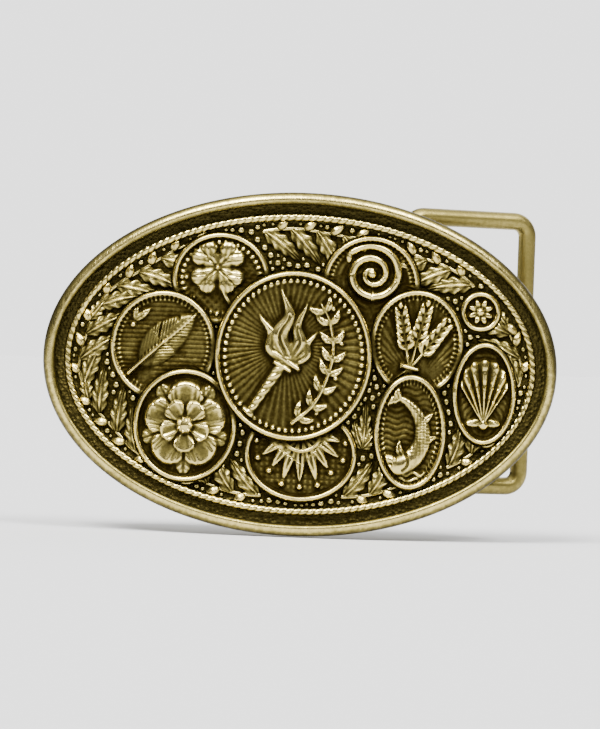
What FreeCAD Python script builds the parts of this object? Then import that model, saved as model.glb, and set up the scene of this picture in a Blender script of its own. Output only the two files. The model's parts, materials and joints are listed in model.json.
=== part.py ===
import FreeCAD, Part
import math
import os

# An oval plaque belt buckle: a bent brass plate with a raised border, a cluster of
# overlapping coin medallions and leafy vines on its front, and a hinged wire bail
# and a peg on its back. A leather strap is folded round the bail's outer bar, and
# the strap's free end lies behind the plate with the peg through one of its holes.
#
# Millimetres. +X runs along the plaque to the wearer's left, +Z is up and +Y points
# to the wearer. The origin is the centre of the plate's back face, where the strap lies.

# Driving dimensions
STRAP_WIDTH = 38.0
STRAP_GAP = 6.0            # between the plate's back and the bail's outer bar
PLAQUE_LENGTH = 82.0
PLAQUE_HEIGHT = 54.4
BEND_RADIUS = 170.0        # of the plate's back face, about a vertical line
PLATE_THICKNESS = 1.6

# Border: an outer rim, a plain channel, and a thin bead round the field
RIM_WIDTH = 1.9
RIM_HEIGHT = 2.2
RIM_ROUNDING = 0.7
CHANNEL_WIDTH = 1.4
BEAD_WIDTH = 1.2
BEAD_HEIGHT = 1.3
BEAD_ROUNDING = 0.45

# Ornament
COIN_RIM_WIDTH = 0.9
COIN_GAP = 0.06            # between a coin and the one that lies over its edge
VINE_GAP = 0.25            # between a vine and the coins or the bead
VINE_HEIGHT = 0.9
STEM_INSET = 1.5           # from the field's edge to the middle of a vine's stem
STEM_WIDTH = 0.7
LEAF_LENGTH = 4.6
LEAF_WIDTH = 2.0
LEAF_LEAN = 38.0           # degrees between a leaf and its stem
MOTIF_HEIGHT = 0.5

# Bail: a wire loop that turns in a rolled barrel
WIRE_RADIUS = 1.4
BAIL_CORNER_RADIUS = 2.4   # at the wire's centreline
BAIL_BAR_X = 36.0          # the outer bar, with the strap in place
BAIL_RISE = 3.0            # the strap draws the bail up by most of its play on the barrel
HINGE_X = 17.0
HINGE_CLEARANCE = 0.05
BARREL_WALL = 1.0
BARREL_LENGTH = 31.0
TAB_LENGTH = 10.0
TAB_HEIGHT = 28.0
TAB_CORNER = 3.0
RIVET_RADIUS = 1.0
RIVET_HEAD_RADIUS = 1.9
RIVET_HEAD_HEIGHT = 0.8
RIVET_SPACING = 18.0
RIVET_SETBACK = 6.2        # from the hinge line
BUTT_JOINT = 0.4           # the gap between the wire's two ends, inside the barrel

# Peg
PEG_X = -33.0
PEG_PAD_RADIUS = 5.0
PEG_PAD_THICKNESS = 1.9    # on the peg's axis
PEG_TENON_RADIUS = 1.3
PEG_NECK_RADIUS = 1.6
PEG_NECK_LENGTH = 4.2
PEG_HEAD_RADIUS = 2.2
PEG_HEAD_BAND = 1.0
PEG_DOME_HEIGHT = 0.6
PEG_SHOULDER = 0.5

# Worked out from the dimensions above
HALF_LENGTH = PLAQUE_LENGTH / 2
HALF_HEIGHT = PLAQUE_HEIGHT / 2
FRONT_RADIUS = BEND_RADIUS + PLATE_THICKNESS
BEAD_OUTSIDE = RIM_WIDTH + CHANNEL_WIDTH
FIELD_INSET = BEAD_OUTSIDE + BEAD_WIDTH
FIELD_HALF_LENGTH = HALF_LENGTH - FIELD_INSET
FIELD_HALF_HEIGHT = HALF_HEIGHT - FIELD_INSET
BARREL_RADIUS = WIRE_RADIUS + HINGE_CLEARANCE + BARREL_WALL
BAIL_HALF_HEIGHT = STRAP_WIDTH / 2 + BAIL_CORNER_RADIUS
PRISM_DEPTH = 40.0

# The coins, the uppermost first: name, centre x and z, half width, half height, how high
# the coin's ground stands above the plate, and how high its rim does.
COINS = [
    ("medallion_torch", -1.1, 1.3, 12.5, 13.5, 1.30, 2.00),
    ("medallion_rose", -17.9, -10.3, 8.3, 9.0, 1.10, 1.75),
    ("medallion_dolphin", 17.8, -10.1, 5.8, 9.2, 1.10, 1.75),
    ("medallion_shell", 29.4, -3.6, 5.2, 8.2, 1.10, 1.75),
    ("medallion_feather", -21.8, 2.2, 8.5, 8.8, 0.90, 1.50),
    ("medallion_wheat", 18.4, 4.1, 7.5, 8.4, 0.90, 1.50),
    ("medallion_palmette", 0.6, -14.2, 9.0, 7.6, 0.65, 1.25),
    ("medallion_clover", -13.0, 13.2, 7.8, 7.3, 0.65, 1.25),
    ("medallion_scroll", 10.8, 13.0, 7.8, 7.8, 0.65, 1.25),
    ("medallion_daisy", 28.4, 9.4, 3.3, 3.3, 0.65, 1.15),
]

# The vines: name, and the stretch of the field's edge they follow, in degrees from +X
VINES = [
    ("vine_right", -6, 21),
    ("vine_upper_right", 39, 64),
    ("vine_top", 75, 101),
    ("vine_upper_left", 118, 158),
    ("vine_left", 163, 193),
    ("vine_lower_left", 198, 232),
    ("vine_bottom_left", 239, 261),
    ("vine_bottom_right", 282, 303),
    ("vine_lower_right", 313, 328),
]

# A spray of leaves in the gap between the coins to the right of the torch: where its
# root is, and the way it points in degrees from +X
SPRIG_X = 10.3
SPRIG_Z = -13.0
SPRIG_ANGLE = 84.0
SPRIG_LENGTH = 6.4
SPRIG_SPREAD = 44.0

ORIGIN = FreeCAD.Vector(0, 0, 0)
UP = FreeCAD.Vector(0, 0, 1)
BACKWARD = FreeCAD.Vector(0, 1, 0)


def back_y(x):
    """Where the plate's back face is at x."""
    return BEND_RADIUS - math.sqrt(BEND_RADIUS ** 2 - x ** 2)


def bend_cylinder(radius):
    """A cylinder about the line that the plate is bent round."""
    base = FreeCAD.Vector(0, BEND_RADIUS, -PLAQUE_LENGTH)
    return Part.makeCylinder(radius, 2 * PLAQUE_LENGTH, base, UP)


def layer(low, high):
    """The bent layer from one height above the plate's front face to another."""
    return bend_cylinder(FRONT_RADIUS + high).cut(bend_cylinder(FRONT_RADIUS + low))


def prism(wire):
    """The solid that a wire in the XZ plane sweeps along Y."""
    face = Part.Face(wire)
    face.translate(FreeCAD.Vector(0, -PRISM_DEPTH / 2, 0))
    return face.extrude(FreeCAD.Vector(0, PRISM_DEPTH, 0))


def oval(x, z, half_width, half_height):
    """An elliptical prism along Y."""
    centre = FreeCAD.Vector(x, 0, z)
    across = centre + FreeCAD.Vector(half_width, 0, 0)
    above = centre + FreeCAD.Vector(0, 0, half_height)
    if half_width > half_height:
        ellipse = Part.Ellipse(across, above, centre)
    elif half_width < half_height:
        ellipse = Part.Ellipse(above, across, centre)
    else:
        ellipse = Part.Circle(centre, BACKWARD, half_width)
    return prism(Part.Wire(ellipse.toShape()))


def leaf(x, z, length, width, angle):
    """A lens-shaped prism along Y, from its root at x, z, pointing at angle degrees from +X."""
    root = FreeCAD.Vector(0, 0, 0)
    tip = FreeCAD.Vector(length, 0, 0)
    upper = Part.Arc(root, FreeCAD.Vector(length * 0.45, 0, width / 2), tip).toShape()
    lower = Part.Arc(tip, FreeCAD.Vector(length * 0.45, 0, -width / 2), root).toShape()
    lens = prism(Part.Wire([upper, lower]))
    lens.rotate(ORIGIN, BACKWARD, -angle)
    lens.translate(FreeCAD.Vector(x, 0, z))
    return lens


def bar(start, end, width):
    """A straight prism along Y with round ends, from one (x, z) to another."""
    a = FreeCAD.Vector(start[0], 0, start[1])
    b = FreeCAD.Vector(end[0], 0, end[1])
    along = (b - a).normalize()
    side = FreeCAD.Vector(-along.z, 0, along.x) * (width / 2)
    cap = along * (width / 2)
    edges = [
        Part.LineSegment(a + side, b + side).toShape(),
        Part.Arc(b + side, b + cap, b - side).toShape(),
        Part.LineSegment(b - side, a - side).toShape(),
        Part.Arc(a - side, a - cap, a + side).toShape(),
    ]
    return prism(Part.Wire(edges))


def ring_of_leaves(x, z, count, inside, length, width, start=90.0):
    """Leaves that point away from a centre, evenly round it."""
    found = []
    for i in range(count):
        angle = start + 360.0 * i / count
        turn = math.radians(angle)
        found.append(
            leaf(x + inside * math.cos(turn), z + inside * math.sin(turn), length, width, angle)
        )
    return found


def fan_of_leaves(x, z, count, spread, length, width, middle=90.0):
    """Leaves from one root that spread over an angle."""
    return [
        leaf(x, z, length, width, middle + spread * (i / (count - 1) - 0.5))
        for i in range(count)
    ]


def pairs_along(start, end, count, length, width, lean):
    """Pairs of leaves on both sides of a straight stem."""
    angle = math.degrees(math.atan2(end[1] - start[1], end[0] - start[0]))
    found = []
    for i in range(count):
        share = (i + 0.5) / count
        x = start[0] + share * (end[0] - start[0])
        z = start[1] + share * (end[1] - start[1])
        found.append(leaf(x, z, length, width, angle + lean))
        found.append(leaf(x, z, length, width, angle - lean))
    return found


def torch_motif(x, z):
    low, high = (x - 6.4, z - 8.0), (x - 1.4, z - 0.4)
    flame = fan_of_leaves(high[0], high[1], 3, 50, 8.4, 2.6, 96)
    branch_low, branch_high = (x + 2.2, z - 8.4), (x + 6.6, z + 4.6)
    branch = pairs_along(branch_low, branch_high, 5, 3.0, 1.4, 42)
    return [bar(low, high, 1.8), bar(branch_low, branch_high, 0.8)] + flame + branch


def rose_motif(x, z):
    return [oval(x, z, 1.9, 1.9)] + ring_of_leaves(x, z, 6, 1.0, 5.2, 3.2)


def dolphin_motif(x, z):
    body = leaf(x - 2.6, z - 4.8, 9.4, 3.4, 62)
    tail = fan_of_leaves(x - 2.2, z - 4.4, 2, 90, 3.0, 1.4, 245)
    fin = leaf(x - 0.6, z - 0.2, 3.2, 1.3, 20)
    return [body, fin] + tail


def shell_motif(x, z):
    return fan_of_leaves(x - 0.2, z - 4.4, 5, 88, 8.2, 2.2)


def feather_motif(x, z):
    low, high = (x - 4.6, z - 4.0), (x + 4.4, z + 4.2)
    return [bar(low, high, 0.7)] + pairs_along(low, high, 7, 2.7, 1.1, 40)


def wheat_motif(x, z):
    left = ((x - 3.2, z - 5.6), (x + 2.6, z + 5.0))
    right = ((x + 3.2, z - 5.6), (x - 2.6, z + 5.0))
    grains = pairs_along(*left, 5, 2.6, 1.2, 34) + pairs_along(*right, 5, 2.6, 1.2, 34)
    return [bar(*left, 0.7), bar(*right, 0.7)] + grains


def palmette_motif(x, z):
    return [oval(x, z - 3.4, 1.5, 1.5)] + fan_of_leaves(x, z - 2.8, 5, 150, 4.2, 1.8)


def clover_motif(x, z):
    return [oval(x, z + 1.8, 1.2, 1.2)] + ring_of_leaves(x, z + 1.8, 4, 0.8, 3.8, 2.4, 45.0)


def scroll_motif(x, z):
    outer = oval(x, z + 1.2, 3.6, 3.6).cut(oval(x, z + 1.2, 2.7, 2.7))
    return [outer, oval(x, z + 1.2, 1.4, 1.4)]


def daisy_motif(x, z):
    return [oval(x, z, 1.5, 1.5)]


MOTIFS = {
    "medallion_torch": torch_motif,
    "medallion_rose": rose_motif,
    "medallion_dolphin": dolphin_motif,
    "medallion_shell": shell_motif,
    "medallion_feather": feather_motif,
    "medallion_wheat": wheat_motif,
    "medallion_palmette": palmette_motif,
    "medallion_clover": clover_motif,
    "medallion_scroll": scroll_motif,
    "medallion_daisy": daisy_motif,
}


def border_ring(inset, width, height, rounding):
    """A raised ring of even width, inset from the plaque's edge, with a rounded top."""
    outside = oval(0, 0, HALF_LENGTH - inset, HALF_HEIGHT - inset)
    inside = oval(0, 0, HALF_LENGTH - inset - width, HALF_HEIGHT - inset - width)
    ring = outside.cut(inside).common(layer(0, height)).Solids[0]
    top = FRONT_RADIUS + height
    edges = [e for e in ring.Edges if on_cylinder(e, top)]
    return ring.makeFillet(rounding, edges)


def on_cylinder(edge, radius):
    """True if an edge lies on the bend cylinder of that radius."""
    points = edge.discretize(7)
    return all(abs(math.hypot(p.x, p.y - BEND_RADIUS) - radius) < 1e-3 for p in points)


def coin(spec, above):
    """One coin medallion, cut back where others lie over it."""
    name, x, z, half_width, half_height, ground, rim = spec
    outline = oval(x, z, half_width, half_height)
    inner = oval(x, z, half_width - COIN_RIM_WIDTH, half_height - COIN_RIM_WIDTH)
    motif = MOTIFS[name](x, z)
    raised = motif[0].multiFuse(motif[1:]) if len(motif) > 1 else motif[0]
    raised = raised.common(inner).common(layer(0, ground + MOTIF_HEIGHT))
    body = outline.common(layer(0, ground))
    edge = outline.cut(inner).common(layer(0, rim))
    whole = body.multiFuse([edge, raised]).removeSplitter()
    for _, ox, oz, other_width, other_height, _, _ in above:
        whole = whole.cut(oval(ox, oz, other_width + COIN_GAP, other_height + COIN_GAP))
    field = oval(0, 0, FIELD_HALF_LENGTH - COIN_GAP, FIELD_HALF_HEIGHT - COIN_GAP)
    return max(whole.common(field).Solids, key=lambda solid: solid.Volume)


def trimmed(pieces):
    """Pieces of vine as one low relief, cut back to clear the coins and the bead."""
    whole = pieces[0].multiFuse(pieces[1:]).common(layer(0, VINE_HEIGHT))
    for _, x, z, half_width, half_height, _, _ in COINS:
        whole = whole.cut(oval(x, z, half_width + VINE_GAP, half_height + VINE_GAP))
    edge = (FIELD_HALF_LENGTH - VINE_GAP, FIELD_HALF_HEIGHT - VINE_GAP)
    whole = whole.common(oval(0, 0, *edge)).removeSplitter()
    kept = [solid for solid in whole.Solids if solid.Volume > 0.3]
    return Part.makeCompound(kept)


def vine(start, end):
    """A stem along the field's edge with leaves on both sides, trimmed round the coins."""
    half_length = FIELD_HALF_LENGTH - STEM_INSET
    half_height = FIELD_HALF_HEIGHT - STEM_INSET
    pieces = []
    steps = max(2, round((end - start) / 7.0))
    spots = []
    for i in range(steps + 1):
        turn = math.radians(start + (end - start) * i / steps)
        spots.append((half_length * math.cos(turn), half_height * math.sin(turn)))
    for i, (a, b) in enumerate(zip(spots, spots[1:])):
        pieces.append(bar(a, b, STEM_WIDTH))
        heading = math.degrees(math.atan2(b[1] - a[1], b[0] - a[0]))
        pieces.append(leaf(a[0], a[1], LEAF_LENGTH, LEAF_WIDTH, heading + LEAF_LEAN))
        pieces.append(leaf(a[0], a[1], LEAF_LENGTH / 2, LEAF_WIDTH / 2, heading - LEAF_LEAN))
    return trimmed(pieces)


def leaf_sprig():
    """A spray of leaves that fills a gap between coins."""
    spread, length, width = SPRIG_SPREAD, SPRIG_LENGTH, LEAF_WIDTH
    return trimmed(fan_of_leaves(SPRIG_X, SPRIG_Z, 3, spread, length, width, SPRIG_ANGLE))


def hinge_centre():
    """The wire's centre in the barrel, as x and y."""
    slope = math.asin(HINGE_X / BEND_RADIUS)
    x = HINGE_X - BARREL_RADIUS * math.sin(slope)
    y = back_y(HINGE_X) + BARREL_RADIUS * math.cos(slope)
    return x, y


def to_hinge(shape):
    """Moves a shape from a flat plate's back, at the origin, to the bent plate at the hinge."""
    shape.rotate(ORIGIN, UP, math.degrees(math.asin(HINGE_X / BEND_RADIUS)))
    shape.translate(FreeCAD.Vector(HINGE_X, back_y(HINGE_X), 0))
    return shape


def rivet_shanks(radius, front, back):
    """The two rivet shanks through the tab and the plate, in the hinge's flat frame."""
    found = []
    for side in (-1, 1):
        base = FreeCAD.Vector(-RIVET_SETBACK, front, side * RIVET_SPACING / 2)
        found.append(Part.makeCylinder(radius, back - front, base, BACKWARD))
    return found


def hinge_bracket():
    """The rolled strip that holds the bail: a barrel round the wire and a tab on the plate."""
    base = FreeCAD.Vector(0, BARREL_RADIUS, -BARREL_LENGTH / 2)
    barrel = Part.makeCylinder(BARREL_RADIUS, BARREL_LENGTH, base, UP)
    corner = FreeCAD.Vector(-TAB_LENGTH, -BARREL_WALL, -TAB_HEIGHT / 2)
    tab = Part.makeBox(TAB_LENGTH, 2 * BARREL_WALL, TAB_HEIGHT, corner)
    ends = [e for e in tab.Edges if all(abs(v.X + TAB_LENGTH) < 1e-6 for v in e.Vertexes)]
    ends = [e for e in ends if abs(e.Vertexes[0].Z - e.Vertexes[1].Z) < 1e-6]
    tab = tab.makeFillet(TAB_CORNER, ends)
    bore_radius = WIRE_RADIUS + HINGE_CLEARANCE
    bore = Part.makeCylinder(bore_radius, BARREL_LENGTH, base, UP)
    holes = rivet_shanks(RIVET_RADIUS, -2 * BARREL_WALL, 2 * BARREL_WALL)
    bracket = to_hinge(barrel.fuse(tab).removeSplitter().cut(bore).cut(holes[0]).cut(holes[1]))
    return bracket.common(bend_cylinder(BEND_RADIUS))


def hinge_rivets():
    """Two domed rivets, flush with the plate's front face."""
    found = []
    sphere_radius = (RIVET_HEAD_RADIUS ** 2 + RIVET_HEAD_HEIGHT ** 2) / (2 * RIVET_HEAD_HEIGHT)
    for shank in rivet_shanks(RIVET_RADIUS, -2 * PLATE_THICKNESS, BARREL_WALL):
        middle = shank.BoundBox.Center
        centre = FreeCAD.Vector(middle.x, BARREL_WALL + RIVET_HEAD_HEIGHT - sphere_radius, middle.z)
        ball = Part.makeSphere(sphere_radius, centre)
        seat = FreeCAD.Vector(middle.x, BARREL_WALL, middle.z)
        disc = Part.makeCylinder(RIVET_HEAD_RADIUS, RIVET_HEAD_HEIGHT, seat, BACKWARD)
        rivet = to_hinge(shank.fuse(ball.common(disc)).removeSplitter())
        found.append(rivet.common(bend_cylinder(FRONT_RADIUS)).Solids[0])
    return Part.makeCompound(found)


def bail_loop():
    """A rectangular wire loop, with its near bar in the barrel and its outer bar set back."""
    x, y = hinge_centre()
    bar_y = back_y(BAIL_BAR_X) + STRAP_GAP + WIRE_RADIUS
    reach = math.hypot(BAIL_BAR_X - x, bar_y - y)
    tilt = math.degrees(math.atan2(bar_y - y, BAIL_BAR_X - x))
    radius, half_height = BAIL_CORNER_RADIUS, BAIL_HALF_HEIGHT
    diagonal = radius * math.sqrt(0.5)
    edges = []
    # each corner: the centre of its arc, and which way it bulges
    corners = [(reach, 1, 1), (0, -1, 1), (0, -1, -1), (reach, 1, -1)]
    points = []
    for corner_x, right, above in corners:
        cx = corner_x - right * radius
        cz = above * (half_height - radius)
        flat = FreeCAD.Vector(corner_x, 0, cz)
        level = FreeCAD.Vector(cx, 0, above * half_height)
        middle = FreeCAD.Vector(cx + right * diagonal, 0, cz + above * diagonal)
        order = (flat, middle, level) if right == above else (level, middle, flat)
        points.append(order)
    for i, order in enumerate(points):
        edges.append(Part.Arc(*order).toShape())
        edges.append(Part.LineSegment(order[2], points[(i + 1) % 4][0]).toShape())
    path = Part.Wire(edges)
    start = points[0][0]
    section = Part.Wire(Part.Circle(start, UP, WIRE_RADIUS).toShape())
    loop = path.makePipeShell([section], True, True)
    gap_corner = FreeCAD.Vector(-2 * WIRE_RADIUS, -2 * WIRE_RADIUS, -BUTT_JOINT / 2)
    gap = Part.makeBox(4 * WIRE_RADIUS, 4 * WIRE_RADIUS, BUTT_JOINT, gap_corner)
    loop = loop.cut(gap)
    loop.rotate(ORIGIN, UP, tilt)
    loop.translate(FreeCAD.Vector(x, y, BAIL_RISE))
    return loop


def peg_seat():
    """The y of the pad's flat back face, which the peg stands on."""
    return back_y(PEG_X) + PEG_PAD_THICKNESS


def peg_tenon(radius):
    """The cylinder that passes through the pad and the plate."""
    base = FreeCAD.Vector(PEG_X, -PLAQUE_LENGTH, 0)
    return Part.makeCylinder(radius, PLAQUE_LENGTH + peg_seat(), base, BACKWARD)


def peg_pad():
    """A round wedge that squares the peg to the strap."""
    base = FreeCAD.Vector(PEG_X, 0, 0)
    pad = Part.makeCylinder(PEG_PAD_RADIUS, peg_seat(), base, BACKWARD)
    pad = pad.common(bend_cylinder(BEND_RADIUS)).cut(peg_tenon(PEG_TENON_RADIUS))
    return pad.Solids[0]


def hook_peg():
    """A turned peg: a tenon, a shoulder, a neck and a head that the strap's hole slips over."""
    seat = peg_seat()
    neck_end = seat + PEG_NECK_LENGTH
    band_end = neck_end + PEG_HEAD_BAND
    dome_end = band_end + PEG_DOME_HEIGHT
    flare = PEG_NECK_RADIUS + PEG_SHOULDER
    outline = [
        (0, seat), (flare, seat), (PEG_NECK_RADIUS, seat + PEG_SHOULDER),
        (PEG_NECK_RADIUS, neck_end - PEG_SHOULDER), (PEG_HEAD_RADIUS, neck_end),
        (PEG_HEAD_RADIUS, band_end),
    ]
    points = [FreeCAD.Vector(PEG_X + r, y, 0) for r, y in outline]
    edges = [Part.LineSegment(a, b).toShape() for a, b in zip(points, points[1:])]
    top = FreeCAD.Vector(PEG_X, dome_end, 0)
    sphere_radius = (PEG_HEAD_RADIUS ** 2 + PEG_DOME_HEIGHT ** 2) / (2 * PEG_DOME_HEIGHT)
    half_angle = math.asin(PEG_HEAD_RADIUS / sphere_radius) / 2
    between = FreeCAD.Vector(
        PEG_X + sphere_radius * math.sin(half_angle),
        dome_end - sphere_radius * (1 - math.cos(half_angle)),
        0,
    )
    edges.append(Part.Arc(points[-1], between, top).toShape())
    edges.append(Part.LineSegment(top, points[0]).toShape())
    profile = Part.Face(Part.Wire(edges))
    turned = profile.revolve(FreeCAD.Vector(PEG_X, 0, 0), BACKWARD, 360)
    tenon = peg_tenon(PEG_TENON_RADIUS).common(bend_cylinder(FRONT_RADIUS))
    return turned.fuse(tenon).removeSplitter().Solids[0]


def base_plate():
    """The bent oval plate, with holes for the rivets and for the peg's tenon."""
    plate = oval(0, 0, HALF_LENGTH, HALF_HEIGHT).common(layer(-PLATE_THICKNESS, 0)).Solids[0]
    for shank in rivet_shanks(RIVET_RADIUS, -3 * PLATE_THICKNESS, PLATE_THICKNESS):
        plate = plate.cut(to_hinge(shank))
    return plate.cut(peg_tenon(PEG_TENON_RADIUS)).Solids[0]


def save(name, shape):
    """Writes one sub-part, and prints what shows that it is sound."""
    shape.exportStep("parts/" + name + ".step")
    print(name, len(shape.Solids), "solids", round(shape.Volume, 2), "mm3", shape.isValid())


def main():
    os.makedirs("parts", exist_ok=True)
    save("base_plate", base_plate())
    save("rim_ring", border_ring(0, RIM_WIDTH, RIM_HEIGHT, RIM_ROUNDING))
    save("bead_ring", border_ring(BEAD_OUTSIDE, BEAD_WIDTH, BEAD_HEIGHT, BEAD_ROUNDING))
    for i, spec in enumerate(COINS):
        save(spec[0], coin(spec, COINS[:i]))
    for name, start, end in VINES:
        save(name, vine(start, end))
    save("leaf_sprig", leaf_sprig())
    save("hinge_bracket", hinge_bracket())
    save("hinge_rivets", hinge_rivets())
    save("bail_loop", bail_loop())
    save("peg_pad", peg_pad())
    save("hook_peg", hook_peg())
    x, y = hinge_centre()
    print("hinge axis at x", round(x, 4), "y", round(y, 4), "peg seat at y", round(peg_seat(), 4))
    print("outer bar at y", round(back_y(BAIL_BAR_X) + STRAP_GAP + WIRE_RADIUS, 4))


main()
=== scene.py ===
import json
import math
from collections import namedtuple

import bpy
import numpy as np
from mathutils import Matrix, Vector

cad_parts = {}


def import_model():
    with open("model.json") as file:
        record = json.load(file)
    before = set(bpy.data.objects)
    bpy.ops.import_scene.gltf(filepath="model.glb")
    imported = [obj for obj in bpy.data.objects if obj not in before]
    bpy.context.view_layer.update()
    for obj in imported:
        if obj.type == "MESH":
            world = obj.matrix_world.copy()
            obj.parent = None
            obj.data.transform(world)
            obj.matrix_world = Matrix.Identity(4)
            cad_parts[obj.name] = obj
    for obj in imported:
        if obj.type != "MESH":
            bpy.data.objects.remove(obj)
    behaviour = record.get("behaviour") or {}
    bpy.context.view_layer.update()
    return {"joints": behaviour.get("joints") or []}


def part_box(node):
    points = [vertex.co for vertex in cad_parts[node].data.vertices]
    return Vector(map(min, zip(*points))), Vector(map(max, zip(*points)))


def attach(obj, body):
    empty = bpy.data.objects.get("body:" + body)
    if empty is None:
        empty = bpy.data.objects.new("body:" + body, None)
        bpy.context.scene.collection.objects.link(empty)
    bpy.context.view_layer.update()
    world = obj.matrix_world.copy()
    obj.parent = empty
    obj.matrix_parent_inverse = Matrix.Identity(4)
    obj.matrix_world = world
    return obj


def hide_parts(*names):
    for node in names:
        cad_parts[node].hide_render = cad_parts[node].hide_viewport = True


# The looks of an oval plaque belt buckle in antique brass. Shapes are worked out in
# millimetres, as places x and z on the plaque's face and heights above its plate, and
# become metres when a mesh is made. The frame is the CAD part's: +X to the bail, +Y to
# the wearer, +Z up, with the origin at the centre of the plate's back face.

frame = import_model()
MM = 0.001

# The plate, as the CAD part has it
plate_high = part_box("base_plate")[1]
HALF_LENGTH = plate_high.x / MM
HALF_HEIGHT = plate_high.z / MM
BEND_RADIUS = 170.0
PLATE_THICKNESS = 1.6
FRONT_RADIUS = BEND_RADIUS + PLATE_THICKNESS
RIM_WIDTH = 1.9
RIM_HEIGHT = 2.2
CHANNEL_WIDTH = 1.4
BEAD_WIDTH = 1.2
BEAD_INSET = RIM_WIDTH + CHANNEL_WIDTH
ROPE_PITCH = 1.15           # from one strand of the bead to the next
FIELD_INSET = BEAD_INSET + BEAD_WIDTH
FIELD = (HALF_LENGTH - FIELD_INSET, HALF_HEIGHT - FIELD_INSET)

# Fineness of the meshes
CELL = 0.105        # of a medallion's face
RELIEF_REACH = 0.75                         # how far round a place its height is compared

rng = np.random.default_rng(7)


# Shaping

def smooth(low, high, value):
    """0 below low, 1 above high, and an even slope between."""
    share = np.clip((value - low) / (high - low), 0, 1)
    return share * share * (3 - 2 * share)


def dome(share):
    """A round section: 1 in the middle and 0 from a share of 1 on."""
    return np.sqrt(np.clip(1 - share ** 2, 0, 1))


def wave(phase):
    """Even waves between 0 and 1."""
    return 0.5 + 0.5 * np.cos(phase)


def oval(a, b, turn):
    """Points of an oval about the origin at some angles."""
    return np.stack([a * np.cos(turn), b * np.sin(turn)], axis=1)


def full_turn(count):
    """Evenly spaced angles once round."""
    return np.linspace(0, 2 * np.pi, count, endpoint=False)


def unit(ways):
    """Directions of length one."""
    return ways / np.linalg.norm(ways, axis=1)[:, None]


def polar(turn, reach, tall=None, centre=(0.0, 0.0)):
    """A point at an angle on a circle about a centre, or on an oval whose half height is given."""
    return centre[0] + reach * math.cos(turn), centre[1] + (tall or reach) * math.sin(turn)


def run_along(line):
    """How far along a line each of its points is."""
    return np.concatenate([[0], np.cumsum(np.hypot(*np.diff(line, axis=0).T))])


def ellipse_distance(x, z, half_width, half_height):
    """Nearly how far places are outside an ellipse about the origin, and below 0 inside it."""
    near = np.maximum(np.hypot(x / half_width, z / half_height), 1e-6)
    steep = np.hypot(x / half_width ** 2, z / half_height ** 2)
    return near * (near - 1) / np.maximum(steep, 1e-6 / max(half_width, half_height))


def curve(points, steps=8):
    """A smooth line through points (Catmull-Rom)."""
    p = np.asarray(points, float)
    p = np.vstack([2 * p[0] - p[1], p, 2 * p[-1] - p[-2]])
    t = np.linspace(0, 1, steps, endpoint=False)[:, None]
    parts = []
    for a, b, c, d in zip(p, p[1:], p[2:], p[3:]):
        parts.append(0.5 * (2 * b + (c - a) * t + (2 * a - 5 * b + 4 * c - d) * t ** 2
                            + (3 * b - a - 3 * c + d) * t ** 3))
    return np.vstack(parts + [p[-2:-1]])


def arc(x, z, radius, start, end, steps=18):
    """Points along an arc, from one angle in degrees to another."""
    turn = np.radians(np.linspace(start, end, steps))
    return np.stack([x + radius * np.cos(turn), z + radius * np.sin(turn)], axis=1)


def stroke(x, z, line, widths, height):
    """A raised round line; its half widths are spread evenly from start to end."""
    line = np.asarray(line, float)
    widths = np.atleast_1d(widths)
    half = np.interp(np.linspace(0, 1, len(line)), np.linspace(0, 1, len(widths)), widths)
    found = np.zeros_like(x)
    for (x0, z0), (x1, z1), w0, w1 in zip(line, line[1:], half, half[1:]):
        dx, dz = x1 - x0, z1 - z0
        along = np.clip(((x - x0) * dx + (z - z0) * dz) / (dx * dx + dz * dz), 0, 1)
        away = np.hypot(x - x0 - along * dx, z - z0 - along * dz)
        width = w0 + along * (w1 - w0)
        np.maximum(found, dome(away / width) * np.sqrt(width / half.max()), out=found)
    return found * height


def petal(x, z, root, tip, width, height, bow=0.0, veins=0, groove=0.35):
    """A pointed leaf shape with a crease down its middle and, if asked, side veins."""
    dx, dz = tip[0] - root[0], tip[1] - root[1]
    length = math.hypot(dx, dz)
    along = ((x - root[0]) * dx + (z - root[1]) * dz) / length ** 2
    share = np.clip(along, 0, 1)
    across = ((z - root[1]) * dx - (x - root[0]) * dz) / length
    across = across - bow * 4 * share * (1 - share)
    half = width / 2 * np.sin(np.pi * share ** 0.8) ** 0.75
    inside = (along > 0) & (along < 1)
    body = np.where(inside, dome(np.abs(across) / np.maximum(half, 1e-4)), 0)
    shape = body * (0.6 + 0.4 * np.sin(np.pi * share))
    if veins:
        slant = share * length - 1.1 * np.abs(across)
        shape = shape * (1 - 0.16 * wave(2 * np.pi * slant * veins / length))
    crease = 1 - groove * np.exp(-(across / (0.09 * width)) ** 2)
    return height * shape * crease


def tongue(x, z, points, widths, height):
    """A tongue of flame: a tapering stroke with a groove along it."""
    line = curve(points)
    return stroke(x, z, line, widths, height) - stroke(x, z, line[:-8], [0.34, 0.16], 0.34 * height)


def pearl(x, z, centre, radius, height):
    """A round boss."""
    return height * dome(np.hypot(x - centre[0], z - centre[1]) / radius)


def turned(x, z, degrees):
    """The same places, seen from axes that are turned by some degrees."""
    turn = math.radians(degrees)
    return x * math.cos(turn) + z * math.sin(turn), z * math.cos(turn) - x * math.sin(turn)


def over(*heights):
    """The highest of several reliefs at each place."""
    return np.maximum.reduce(heights)


def blur(grid, reach):
    """The local mean of a grid, by running sums both ways, done twice."""
    for _ in range(2):
        for axis in (0, 1):
            edges = [(reach + 1, reach) if side == axis else (0, 0) for side in (0, 1)]
            total = np.cumsum(np.pad(grid, edges, mode="edge"), axis=axis)
            count = grid.shape[axis]
            high = np.take(total, np.arange(count) + 2 * reach + 1, axis=axis)
            low = np.take(total, np.arange(count), axis=axis)
            grid = (high - low) / (2 * reach + 1)
    return grid


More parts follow.
